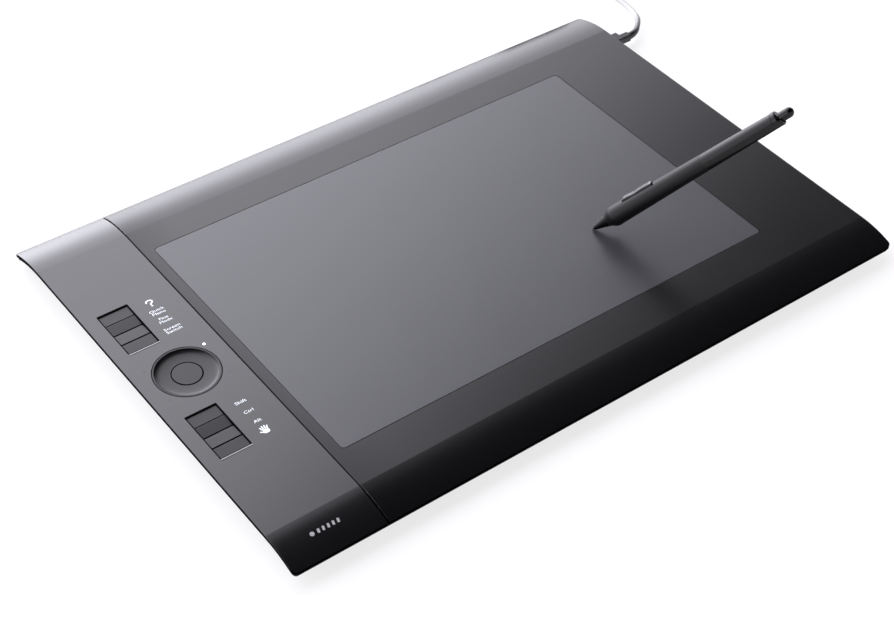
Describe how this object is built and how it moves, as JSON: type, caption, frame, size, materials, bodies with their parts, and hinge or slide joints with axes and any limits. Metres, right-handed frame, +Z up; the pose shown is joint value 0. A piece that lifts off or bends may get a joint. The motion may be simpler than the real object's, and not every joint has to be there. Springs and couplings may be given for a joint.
{
  "type": "pen drawing tablet",
  "caption": "Flat pen drawing tablet with a key strip, touch ring, press keys, textured drawing sheet, pressure pen and a plug-in lead.",
  "frame": {"origin": "on the surface the tablet stands on, under the middle of its case", "axes": "+X along the case away from the key strip, +Y away from the user, +Z up"},
  "size_m": [0.5247, 0.4715, 0.1217],
  "materials": {
    "case_dark": "satin, very fine grain",
    "case_gray": "satin, very fine grain",
    "case_under": "fine spark-eroded grain",
    "case_black": "satin",
    "sheet_gray": "fine paper-like tooth",
    "key_gray": "satin",
    "ring_gray": "half gloss",
    "lit_white": "clear light guide, lit",
    "rubber_black": "matt",
    "screw_steel": "blackened steel",
    "plate_silver": "printed film, blank",
    "circuit_green": "solder resist",
    "shield_foil": "rolled foil",
    "display_black": "glass over black",
    "switch_black": "moulded",
    "plug_metal": "nickel plated",
    "ribbon_film": "polyimide film",
    "pen_soft": "soft touch",
    "pen_case": "satin",
    "pen_gloss": "gloss",
    "nib_black": "dry",
    "pen_inside": "moulded",
    "ferrite": "sintered",
    "copper": "enamelled wire",
    "plug_black": "moulded",
    "cable_pale": "smooth jacket"
  },
  "bodies": {
    "case": {"top_cover": "case_dark", "key_strip_cover": "case_gray", "upper_label_window": "case_gray", "lower_label_window": "case_gray", "bottom_case": "case_under", "drawing_sheet": "sheet_gray", "touch_ring": "ring_gray", "status_light_guides": "lit_white", "rubber_feet": "rubber_black", "case_screws": "screw_steel", "rating_plate": "plate_silver", "sensor_board": "circuit_green", "main_board": "circuit_green", "key_board": "circuit_green", "ring_sensor_board": "circuit_green", "port_board_rear": "circuit_green", "port_board_front": "circuit_green", "sensor_shield": "shield_foil", "upper_label_display": "display_black", "lower_label_display": "display_black", "key_switches": "switch_black", "usb_socket_rear": "plug_metal", "usb_socket_front": "plug_metal", "small_plug_shell": "plug_metal", "large_plug_shell": "plug_metal", "ribbon_cable": "ribbon_film", "small_plug_body": "plug_black", "strain_relief": "plug_black", "large_plug_body": "plug_black", "cable_tie": "plug_black", "usb_cable": "cable_pale", "usb_cable_tail": "cable_pale", "usb_cable_coil": "cable_pale"},
    "pen": {"pen_grip": "pen_soft", "pen_barrel": "pen_case", "pen_nose_cone": "pen_gloss", "pen_tail_ring": "pen_gloss", "pen_chassis": "pen_inside", "pen_circuit_board": "circuit_green", "pen_ferrite_core": "ferrite", "pen_coil_winding": "copper", "pen_pressure_sensor": "pen_inside", "pen_eraser_sensor": "pen_inside"},
    "nib": {"pen_nib": "nib_black"},
    "eraser": {"pen_eraser": "pen_gloss"},
    "side_switch": {"pen_side_switch": "pen_gloss"},
    "ring_button": {"ring_button": "ring_gray"},
    "port_cover": {"port_cover": "case_black"},
    "key_1": {"key_1": "key_gray"},
    "key_2": {"key_2": "key_gray"},
    "key_3": {"key_3": "key_gray"},
    "key_4": {"key_4": "key_gray"},
    "key_5": {"key_5": "key_gray"},
    "key_6": {"key_6": "key_gray"},
    "key_7": {"key_7": "key_gray"},
    "key_8": {"key_8": "key_gray"}
  },
  "joints": [
    {"name": "key_1_press", "type": "slide", "parent": "case", "child": "key_1", "axis": [0, 0, -1], "range_m": [0, 0.0008], "stiffness_N_per_m": 800},
    {"name": "key_2_press", "type": "slide", "parent": "case", "child": "key_2", "axis": [0, 0, -1], "range_m": [0, 0.0008], "stiffness_N_per_m": 800},
    {"name": "key_3_press", "type": "slide", "parent": "case", "child": "key_3", "axis": [0, 0, -1], "range_m": [0, 0.0008], "stiffness_N_per_m": 800},
    {"name": "key_4_press", "type": "slide", "parent": "case", "child": "key_4", "axis": [0, 0, -1], "range_m": [0, 0.0008], "stiffness_N_per_m": 800},
    {"name": "key_5_press", "type": "slide", "parent": "case", "child": "key_5", "axis": [0, 0, -1], "range_m": [0, 0.0008], "stiffness_N_per_m": 800},
    {"name": "key_6_press", "type": "slide", "parent": "case", "child": "key_6", "axis": [0, 0, -1], "range_m": [0, 0.0008], "stiffness_N_per_m": 800},
    {"name": "key_7_press", "type": "slide", "parent": "case", "child": "key_7", "axis": [0, 0, -1], "range_m": [0, 0.0008], "stiffness_N_per_m": 800},
    {"name": "key_8_press", "type": "slide", "parent": "case", "child": "key_8", "axis": [0, 0, -1], "range_m": [0, 0.0008], "stiffness_N_per_m": 800},
    {"name": "ring_button_press", "type": "slide", "parent": "case", "child": "ring_button", "axis": [0, 0, -1], "range_m": [0, 0.0008], "stiffness_N_per_m": 800},
    {"name": "port_cover_slide", "type": "slide", "parent": "case", "child": "port_cover", "axis": [0, 1, 0], "range_m": [0, 0.016]},
    {"name": "pen_lift", "type": "slide", "parent": "case", "child": "pen", "axis": [0, 0, 1], "range_m": [0, 0.06]},
    {"name": "nib_press", "type": "slide", "parent": "pen", "child": "nib", "axis": [0.5586, -0.4721, 0.682], "range_m": [0, 0.0005], "stiffness_N_per_m": 600},
    {"name": "eraser_press", "type": "slide", "parent": "pen", "child": "eraser", "axis": [-0.5586, 0.4721, -0.682], "range_m": [0, 0.0008], "stiffness_N_per_m": 600},
    {"name": "side_switch_rock", "type": "hinge", "parent": "pen", "child": "side_switch", "pos_m": [0.10125, -0.05651, 0.04393], "axis": [0.7553, 0.6293, -0.183], "range_deg": [-2.5, 2.5], "stiffness_Nm_per_rad": 0.3}
  ]
}
